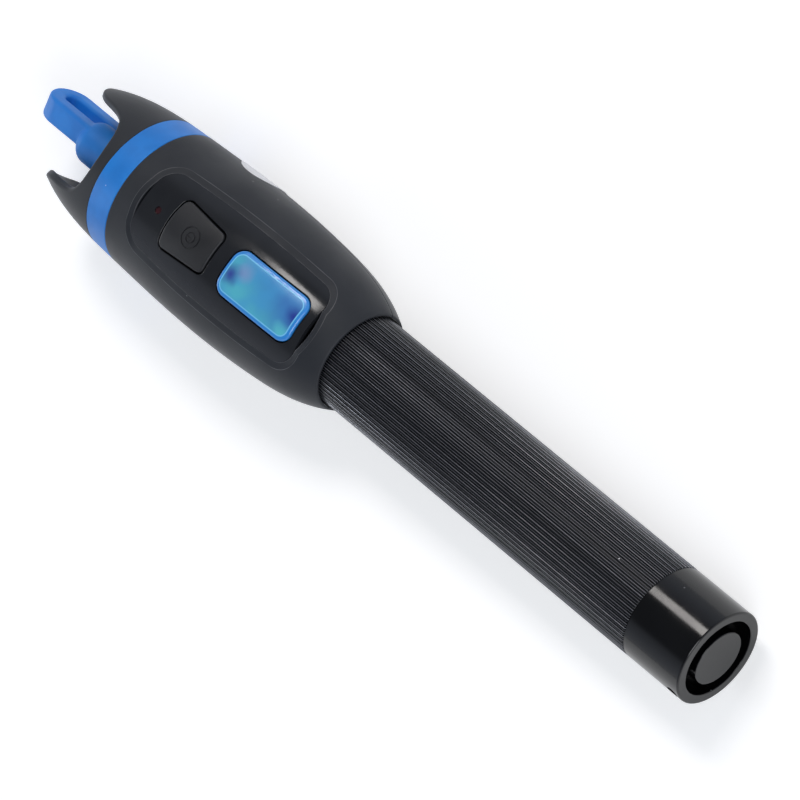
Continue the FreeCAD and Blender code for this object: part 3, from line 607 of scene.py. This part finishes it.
def edge_reach(inset, rays):
    """Share of the way at which each ray meets the shell's edge moved in by inset. The
    edge is a rectangle on the unrolled shell, so the nearer of its two sides counts."""
    tiny = 1e-9
    along = (1.0 - inset / shell_half) / np.maximum(np.abs(np.cos(rays)), tiny)
    around = (1.0 - inset / seam_arc) / np.maximum(np.abs(np.sin(rays)), tiny)
    return np.minimum(along, around)


def shell_points(reach, rays, depth):
    """Points of the shell: rays on the unrolled shell wrapped round the pen, each as
    deep below the head's form as depth says."""
    x = shell_middle + shell_half * reach * np.cos(rays)
    turn = reach * np.sin(rays) * seam_turn(x)
    radius = head_radius(x) - depth
    return np.stack([x, radius * np.sin(turn), radius * np.cos(turn)], -1)


wall_thickness = 2.4
rim_end, collar_end = head_start + 3.2, head_start + 6.2
rim_bore, collar_bore = 9.85, 9.13


def shell_wall(x):
    """Wall below the form at a station: what the bore leaves of it round the ribs' end and
    in the collar that grips the barrel, and of even thickness from there on."""
    bore = np.interp(x, [rim_end, rim_end + 0.05], [rim_bore, collar_bore])
    return np.where(x < collar_end, head_radius(x) - bore, wall_thickness)


ray_count, face_rows = 640, 25
rays = np.linspace(0.0, 2 * np.pi, ray_count, endpoint=False)

# The window's bevel, from its floor up to the face: distance out from the window's edge,
# depth below the form, and how strongly a painted highlight line lies there, with smoother gloss.
bevel = [
    (0.05, 2.4, 0.0), (0.05, 0.46, 0.0), (0.09, 0.41, 0.0), (0.16, 0.375, 0.6), (0.28, 0.335, 0.0),
    (0.55, 0.235, 0.0), (0.80, 0.135, 0.0), (0.94, 0.075, 0.0), (1.06, 0.035, 0.0),
    (1.15, 0.018, 0.0), (1.21, 0.008, 1.0), (1.27, 0.003, 0.0), (1.4, 0.0, 0.0),
]
rows = [shell_points(window_reach(grow, rays), rays, depth) for grow, depth, _ in bevel]
window_edge = window_reach(bevel[-1][0], rays)
flat_edge = edge_reach(0.2, rays)
for share in np.linspace(0.0, 1.0, face_rows + 1)[1:]:
    rows.append(shell_points(window_edge + share * (flat_edge - window_edge), rays, 0.0))
rounded_edge = ((0.10, 0.027), (0.035, 0.087), (0.0, 0.2))
for inset, depth in rounded_edge:
    rows.append(shell_points(edge_reach(inset, rays), rays, depth))
outer_edge, inner_edge = edge_reach(0.0, rays), window_reach(bevel[0][0], rays)
for share in (1.0, 0.8, 0.6, 0.4, 0.2, 0.02):
    reach = inner_edge + share * (outer_edge - inner_edge)
    wall = shell_wall(shell_middle + shell_half * reach * np.cos(rays))
    rows.append(shell_points(reach, rays, wall))
points = np.stack(rows)
shell_faces = grid_faces(*points.shape[:2], close_rows=True, close_columns=True)
shell = new_piece("upper_head_shell", points, shell_faces, crease=50)
highlight_line_share = np.zeros(points.shape[:2])
highlight_line_share[:len(bevel)] = np.array(bevel)[:, 2:]
window_highlight_line = shell.data.attributes.new("window_highlight_line", "FLOAT", "POINT")
window_highlight_line.data.foreach_set("value", highlight_line_share.ravel())
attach(shell, "housing")
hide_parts("upper_shell")

mould_fineness, mould_depth = 3600.0, 0.000012


def matte_plastic(name):
    """Finish of the matte black mouldings, and their clouded and dusty shade."""
    material, tree, shader = finish(
        name, (0.012, 0.0138, 0.0175), 0.62, Sheen_Weight=0.32, Sheen_Roughness=0.30)
    specks = put(tree, dust, Cells=330.0, Size=0.055, Share=0.16)
    black = clouded(tree, 110.0, (0.0095, 0.0120, 0.0175), (0.0120, 0.0148, 0.0205))
    return material, tree, shader, tint(tree, specks, black, (0.12, 0.12, 0.125))


matte, tree, shader, shade = matte_plastic("matte shell plastic")
grained(tree, shader, mould_fineness, mould_depth)
# Two thin lines round the window's bevel are painted highlights: a paler colour there, and less
# roughness.
line = tree.nodes.new("ShaderNodeAttribute")
line.attribute_name = "window_highlight_line"
line_patches = noise_in(tree, place_in(tree), scale=260.0, detail=3.0)
painted_highlight = work(tree, "MULTIPLY", line.outputs["Fac"], between(tree, line_patches, 0.36, 0.60, 0.35, 1.0))
dull = put(tree, handling, Patches=75.0, Low=0.58, High=0.68)
tree.links.new(work(tree, "MULTIPLY_ADD", painted_highlight, -0.26, dull), shader.inputs["Roughness"])
paint(tree, shader, tint(tree, painted_highlight, shade, (0.12, 0.12, 0.13)))
shell.data.materials.append(matte)
dress(matte, "lower_shell")

black_steel, tree, shader = finish(
    "blacked screw steel", (0.05, 0.05, 0.052), 0.35, metallic=0.9)
grained(tree, shader, fineness=6000.0, depth=0.000008)
glossed(tree, shader, patches=900.0, low=0.25, high=0.5)
dress(black_steel, "shell_screws")


# ---- control panel ---------------------------------------------------------------------------
# Thin plate moulded in the same black plastic with a finer, smoother face. It drops into
# the shell's window and is glued down, with cut-outs for badge, button and light.
satin, tree, shader = finish(
    "satin panel plastic", (0.018, 0.019, 0.022), 0.13, Specular_IOR_Level=0.45)
grained(tree, shader, fineness=2600.0, depth=0.000002)
glossed(tree, shader, patches=85.0, low=0.11, high=0.16)
specks = put(tree, dust, Cells=380.0, Size=0.06, Share=0.12)
black = clouded(tree, 140.0, (0.0140, 0.0152, 0.0182), (0.0170, 0.0183, 0.0215))
paint(tree, shader, tint(tree, specks, black, (0.14, 0.14, 0.145)))
dress(satin, "control_panel")


# ---- badge -----------------------------------------------------------------------------------
# Clear resin drop over a blue printed foil, glued in its own cut-out. The foil carries no
# sign: a sweep of blues with a few soft spots lies inside a light line, a painted reflection of
# the resin's rounded edge.
badge_low, badge_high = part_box("badge")
badge_print, tree, shader = finish(
    "printed badge foil", (0.06, 0.24, 0.55), 0.22, Coat_Weight=0.4, Coat_Roughness=0.08)
badge_place = axes_in(tree, place_in(tree))
badge_x = work(tree, "SUBTRACT", badge_place["X"], (badge_low[0] + badge_high[0]) / 2)
badge_y = badge_place["Y"]
badge_corner = 2.4 * mm


def past_straight(tree, place, low, high):
    """How far a place lies past the point where a side of the badge starts to turn."""
    return work(tree, "SUBTRACT", work(tree, "ABSOLUTE", place), (high - low) / 2 - badge_corner)


# How far in from the badge's rounded edge a place lies, for its border and its painted rim
# reflection.
over_x = past_straight(tree, badge_x, badge_low[0], badge_high[0])
over_y = past_straight(tree, badge_y, badge_low[1], badge_high[1])
far_out = distance(
    tree, work(tree, "MAXIMUM", over_x, 0.0), work(tree, "MAXIMUM", over_y, 0.0))
far_in = work(tree, "MINIMUM", work(tree, "MAXIMUM", over_x, over_y), 0.0)
from_edge = work(tree, "SUBTRACT", badge_corner, work(tree, "ADD", far_out, far_in))
border = between(tree, from_edge, 0.62 * mm, 0.74 * mm, 0.0, 1.0)
reflection_inner_fade = between(tree, from_edge, 0.86 * mm, 1.0 * mm, 1.0, 0.0)
painted_rim_reflection = work(tree, "MULTIPLY", border, reflection_inner_fade)

slanted = work(tree, "MULTIPLY_ADD", badge_y, 1.6, badge_x)
sweep = between(tree, slanted, -9.0 * mm, 9.0 * mm, 0.0, 1.0)
field = tint(tree, sweep, (0.055, 0.22, 0.56), (0.10, 0.52, 0.66))
clouds = noise_in(tree, place_in(tree), scale=150.0, detail=2.0)
field = tint(tree, between(tree, clouds, 0.40, 0.68, 0.0, 0.75), field, (0.07, 0.36, 0.70))
spots = (
    (5.0, -1.3, 2.7, (0.22, 0.36, 0.64)), (7.3, 0.4, 2.9, (0.035, 0.035, 0.33)),
    (-7.4, 3.4, 2.8, (0.12, 0.58, 0.68)), (-8.5, -0.6, 3.1, (0.016, 0.018, 0.28)),
)
spot_heart, spot_waver = 0.8, 1.6
for spot_x, spot_y, spot_size, spot_colour in spots:
    off_x = work(tree, "SUBTRACT", badge_x, spot_x * mm)
    off_y = work(tree, "SUBTRACT", badge_y, spot_y * mm)
    waver = noise_in(tree, place_in(tree), scale=420.0, detail=1.0)
    off = work(tree, "MULTIPLY_ADD", waver, spot_waver * mm, distance(tree, off_x, off_y))
    fade = between(tree, off, spot_heart * mm, (spot_size + spot_heart) * mm, 0.9, 0.0)
    field = tint(tree, fade, field, spot_colour)
# The pale line painted inside the border stands in for the reflection of the resin drop's edge.
border_blue, reflection_blue = (0.035, 0.27, 0.74), (0.19, 0.61, 0.95)
paint(tree, shader, tint(tree, border, border_blue, tint(tree, painted_rim_reflection, field, reflection_blue)))
glossed(tree, shader, patches=160.0, low=0.18, high=0.26)
dress(badge_print, "badge")


# ---- power button ----------------------------------------------------------------------------
# Key moulded in soft black rubber over a hard stem, with a power sign sunk in its face.
# It stands in the panel with a clear gap all round and presses the switch below it.
key_rubber, tree, shader = finish("soft key rubber", (0.017, 0.017, 0.018), 0.48)
grained(tree, shader, fineness=4200.0, depth=0.00001)
glossed(tree, shader, patches=160.0, low=0.42, high=0.54)
specks = put(tree, dust, Cells=420.0, Size=0.06, Share=0.10)
black = clouded(tree, 200.0, (0.0100, 0.0105, 0.0128), (0.0126, 0.0132, 0.0158))
paint(tree, shader, tint(tree, specks, black, (0.12, 0.12, 0.12)))
dress(key_rubber, "power_button")


# ---- indicator light, board and switch --------------------------------------------------------
# A red light guide shows through the panel above a small lamp on the circuit board. The
# board lies under the shell's moulded posts, with its tactile switch below the button.
red_guide, tree, shader = finish(
    "red light guide", (0.05, 0.004, 0.008), 0.12, Coat_Weight=0.6)
paint(tree, shader, clouded(tree, 1500.0, (0.028, 0.004, 0.006), (0.050, 0.007, 0.011)))
grained(tree, shader, fineness=2500.0, depth=0.00003)
dress(red_guide, "indicator_lens")

resin, solder = (0.75, 0.68, 0.50), (0.60, 0.60, 0.58)
lamp_body, tree, shader = finish("lamp body resin", resin, 0.3)
along = axes_in(tree, place_in(tree))["X"]
lamp_low, lamp_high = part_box("indicator_led")
lamp_middle = (lamp_low[0] + lamp_high[0]) / 2
solder_start = 0.7 * mm
from_middle = work(tree, "ABSOLUTE", work(tree, "SUBTRACT", along, lamp_middle))
soldered = work(tree, "GREATER_THAN", from_middle, solder_start)
paint(tree, shader, tint(tree, soldered, resin, solder))
tree.links.new(soldered, shader.inputs["Metallic"])
glossed(tree, shader, patches=2000.0, low=0.2, high=0.4)
dress(lamp_body, "indicator_led")


def track_lines(tree, place, per_metre):
    """Stripes of copper at an even pitch: where a triangle wave along a place is low."""
    wave = work(tree, "PINGPONG", work(tree, "MULTIPLY", place, per_metre), 0.5)
    return work(tree, "LESS_THAN", wave, 0.11)


board, tree, shader = finish("green circuit board", (0.01, 0.10, 0.04), 0.35)
board_place = axes_in(tree, place_in(tree))
lines_along = track_lines(tree, board_place["X"], 640.0)
lines_across = track_lines(tree, board_place["Y"], 820.0)
lines = work(tree, "MAXIMUM", lines_along, lines_across)
etched = noise_in(tree, place_in(tree), scale=260.0, detail=0.0)
tracks = work(tree, "MULTIPLY", lines, work(tree, "GREATER_THAN", etched, 0.52))
pads = put(tree, dust, Cells=520.0, Size=0.22, Share=0.35)
mask = tint(tree, tracks, (0.008, 0.085, 0.035), (0.02, 0.16, 0.06))
pad_tin = (0.62, 0.60, 0.52)
paint(tree, shader, tint(tree, pads, mask, pad_tin))
tree.links.new(pads, shader.inputs["Metallic"])
glossed(tree, shader, patches=200.0, low=0.28, high=0.42)
relief(tree, shader, work(tree, "MAXIMUM", tracks, pads), 0.00003)
dress(board, "circuit_board")

body_black = (0.02, 0.02, 0.02)
switch_black, tree, shader = finish("switch body plastic", body_black, 0.4)
above = axes_in(tree, place_in(tree))["Z"]
plate_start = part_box("tactile_switch")[1][2] - 0.4 * mm
plate = work(tree, "GREATER_THAN", above, plate_start)
paint(tree, shader, tint(tree, plate, body_black, solder))
tree.links.new(plate, shader.inputs["Metallic"])
glossed(tree, shader, patches=600.0, low=0.28, high=0.45)
dress(switch_black, "tactile_switch")

plunger_red, tree, shader = finish("plunger plastic", (0.35, 0.02, 0.02), 0.4)
grained(tree, shader, fineness=3000.0, depth=0.00002)
glossed(tree, shader, patches=900.0, low=0.35, high=0.5)
dress(plunger_red, "switch_plunger")


# ---- laser module ----------------------------------------------------------------------------
# A red laser diode is pressed into a turned brass housing behind a focusing lens, which
# a screwed ring holds. The whole module sits in the head behind the fibre port.
housing_brass = turned_metal("housing brass", (0.78, 0.56, 0.24), 0.22, fineness=7000.0)
dress(housing_brass, "laser_housing", "lens_retainer")
diode_gold = turned_metal("diode gold", (0.90, 0.66, 0.30), 0.18, fineness=9000.0)
dress(diode_gold, "laser_diode")
glass, tree, shader = finish(
    "lens glass", (1.0, 1.0, 1.0), 0.02, IOR=1.52, Transmission_Weight=1.0)
glossed(tree, shader, patches=500.0, low=0.01, high=0.05)
dress(glass, "focusing_lens")


# ---- fibre port ------------------------------------------------------------------------------
# A nickel-plated ferrule port is held in the crown's end wall by a flat nut. The split
# ceramic sleeve inside it lines the fibre's ferrule up with the laser.
nickel = turned_metal("port nickel", (0.66, 0.63, 0.58), 0.2, fineness=8000.0)
dress(nickel, "ferrule_port", "port_nut")
ceramic, tree, shader = finish("sleeve ceramic", (0.82, 0.82, 0.80), 0.2)
paint(tree, shader, clouded(tree, 800.0, (0.78, 0.78, 0.76), (0.86, 0.86, 0.84)))
glossed(tree, shader, patches=900.0, low=0.15, high=0.28)
dress(ceramic, "alignment_sleeve")


# ---- accent ring -----------------------------------------------------------------------------
# Ring moulded in solid blue plastic. It slides over the crown's sleeve and is trapped
# between crown and shells, flush with both.
def blue_plastic(name, deep, pale, low, high):
    """Blue moulded plastic: two close blues in clouds, fine grain and a few pale specks."""
    material, tree, shader = finish(name, deep, (low + high) / 2)
    grained(tree, shader, fineness=2800.0, depth=0.00001)
    glossed(tree, shader, patches=110.0, low=low, high=high)
    specks = put(tree, dust, Cells=450.0, Size=0.10, Share=0.08)
    light = tuple(0.4 + 0.6 * part for part in pale)
    paint(tree, shader, tint(tree, specks, clouded(tree, 260.0, deep, pale), light))
    return material


ring_blue = blue_plastic(
    "ring blue plastic", (0.005, 0.195, 0.65), (0.008, 0.223, 0.71), low=0.38, high=0.48)
dress(ring_blue, "accent_ring")


# ---- nose crown ------------------------------------------------------------------------------
# Nose guard moulded in one with its sleeve, in the shells' black plastic. Two curved
# prongs stand up at the sides of the port and leave it open above and below.
guard, tree, shader, shade = matte_plastic("nose guard plastic")
paint(tree, shader, shade)

# The outer skin is matte and the inside is smooth. What the crown loses in radius
# towards its tips is added back, so that one radius parts the two.
along, across, above = axes_in(tree, place_in(tree))
crown_tips = crown_start + crown_length
lost = between(tree, along, crown_start * mm, crown_tips * mm, 0.0, 3.4 * mm)
full_radius = work(tree, "ADD", distance(tree, across, above), lost)
outer_skin = between(tree, full_radius, 12.3 * mm, 13.0 * mm, 0.0, 1.0)
smooth_inside, matte_outside = 0.26, 0.62
rough = between(tree, outer_skin, 0.0, 1.0, smooth_inside, matte_outside)
tree.links.new(rough, shader.inputs["Roughness"])
mould_grain = put(tree, grain, Fineness=mould_fineness)
relief(tree, shader, work(tree, "MULTIPLY", mould_grain, outer_skin), mould_depth)
dress(guard, "nose_crown")


# ---- dust cap --------------------------------------------------------------------------------
# Cap of soft blue rubber that pushes over the port. Skirt, dome and flat pull loop are
# one moulding, and all its edges are round.
cap_start = span("dust_cap")[0]
dome_start = cap_start + 9.8
dome_height, dome_steps = 3.1, 16
skirt_radius, skirt_bore, bore_end = 4.3, 3.28, cap_start + 9.2
dome_turn = np.radians(np.linspace(90, 0, dome_steps))
dome = np.stack([
    dome_start + dome_height * np.sin(dome_turn), skirt_radius * np.cos(dome_turn)], -1)
skirt = np.array([
    (cap_start + 0.3, skirt_radius), (cap_start + 0.09, 4.21), (cap_start, 4.0),
    (cap_start, skirt_bore), (bore_end, skirt_bore), (bore_end, 0.0),
])
loop_steps = 49
loop_outer = (cap_start + 20.0, 4.55)
loop_inner = (cap_start + 19.8, 1.65)


def lathed(profile, columns):
    """Surface of a profile of (station, radius) turned once about the pen's axis."""
    turn = np.linspace(0.0, 2 * np.pi, columns, endpoint=False)
    x = np.broadcast_to(profile[:, 0, None], (len(profile), columns))
    radius = profile[:, 1, None]
    return np.stack([x, radius * np.sin(turn), radius * np.cos(turn)], -1)


def rounded_bar(width, thickness, corner):
    """Section of the loop: quarter circles about the corners of a smaller rectangle."""
    corner_points = 8
    quarters = np.arange(4)[:, None] * np.pi / 2
    turn = np.linspace(0.0, np.pi / 2, corner_points) + quarters
    side = np.sign(np.cos(np.pi / 4 + quarters))
    out = np.sign(np.sin(np.pi / 4 + quarters))
    across = side * (width / 2 - corner) + corner * np.cos(turn)
    through = out * (thickness / 2 - corner) + corner * np.sin(turn)
    return np.stack([across.ravel(), through.ravel()], -1)


def pull_loop(section, lower_start, upper_start):
    """Band between two outlines, each a straight lower arm, a half circle about its own
    centre and a straight upper arm. The section's width stays level, and its thickness
    is stretched from the inner outline to the outer one."""
    turn = np.linspace(-np.pi / 2, np.pi / 2, loop_steps)
    outlines = []
    for centre, radius in (loop_outer, loop_inner):
        x = np.concatenate([[lower_start], centre + radius * np.cos(turn), [upper_start]])
        z = np.concatenate([[-radius], radius * np.sin(turn), [radius]])
        outlines.append(np.stack([x, z], -1))
    middle, reach = (outlines[0] + outlines[1]) / 2, (outlines[0] - outlines[1]) / 2
    out = section[:, 1] / section[:, 1].max()
    return np.stack([
        middle[:, 0, None] + reach[:, 0, None] * out,
        np.broadcast_to(section[:, 0], (len(middle), len(section))),
        middle[:, 1, None] + reach[:, 1, None] * out,
    ], -1)


def rolled(points, lean, drop, angle):
    """Points moved aside and down, and then turned about the pen's axis."""
    across, rise = points[..., 1] - lean, points[..., 2] - drop
    turned_across = across * math.cos(angle) + rise * math.sin(angle)
    turned_rise = rise * math.cos(angle) - across * math.sin(angle)
    return np.stack([points[..., 0], turned_across, turned_rise], -1)


loop_section = rounded_bar(width=4.9, thickness=2.9, corner=0.65)
loop = pull_loop(loop_section, lower_start=cap_start + 6.8, upper_start=dome_start)
loop = rolled(loop, lean=1.05, drop=1.6, angle=math.radians(20.0))
skin = bmesh.new()
for points in (lathed(np.concatenate([dome, skirt]), columns=96), loop):
    corners = [skin.verts.new(point) for point in (points.reshape(-1, 3) * mm).tolist()]
    faces = grid_faces(*points.shape[:2], close_rows=False, close_columns=True)
    for face in faces.tolist():
        skin.faces.new([corners[number] for number in face])
    width = points.shape[1]
    if points is loop:
        skin.faces.new(corners[:width])
        skin.faces.new(corners[-width:])
bmesh.ops.remove_doubles(skin, verts=skin.verts, dist=0.002 * mm)
bmesh.ops.recalc_face_normals(skin, faces=skin.faces)
skin_mesh = bpy.data.meshes.new("cap_skin")
skin.to_mesh(skin_mesh)
skin.free()
rough_cap = bpy.data.objects.new("cap_skin", skin_mesh)
bpy.context.scene.collection.objects.link(rough_cap)

# One closed skin is grown over skirt, dome and loop, and smoothing rounds all its edges.
join = rough_cap.modifiers.new("join", "REMESH")
join.mode = "VOXEL"
join.voxel_size = 0.16 * mm
soften = rough_cap.modifiers.new("soften", "SMOOTH")
soften.factor = 0.5
soften.iterations = 8
finished_cap = rough_cap.evaluated_get(bpy.context.evaluated_depsgraph_get())
cap_mesh = bpy.data.meshes.new_from_object(finished_cap)
bpy.data.objects.remove(rough_cap)
cap_mesh.polygons.foreach_set("use_smooth", np.ones(len(cap_mesh.polygons), dtype=bool))
dust_cap = bpy.data.objects.new("soft_dust_cap", cap_mesh)
bpy.context.scene.collection.objects.link(dust_cap)
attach(dust_cap, "dust_cap")
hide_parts("dust_cap")
cap_mesh.materials.clear()
cap_blue = blue_plastic(
    "cap blue rubber", (0.006, 0.202, 0.70), (0.010, 0.234, 0.76), low=0.46, high=0.56)
cap_mesh.materials.append(cap_blue)


# ---- side label ------------------------------------------------------------------------------
# Round white paper label stuck across the side seam of the shells, left without print.
# A hair-thin layer of glue lies between it and the plastic.
paper_label, tree, shader = finish("label paper", (0.86, 0.86, 0.87), 0.45)
grained(tree, shader, fineness=2200.0, depth=0.00001)
paint(tree, shader, clouded(tree, 420.0, (0.84, 0.84, 0.85), (0.88, 0.88, 0.89)))
glossed(tree, shader, patches=160.0, low=0.38, high=0.5)
dress(paper_label, "side_label")
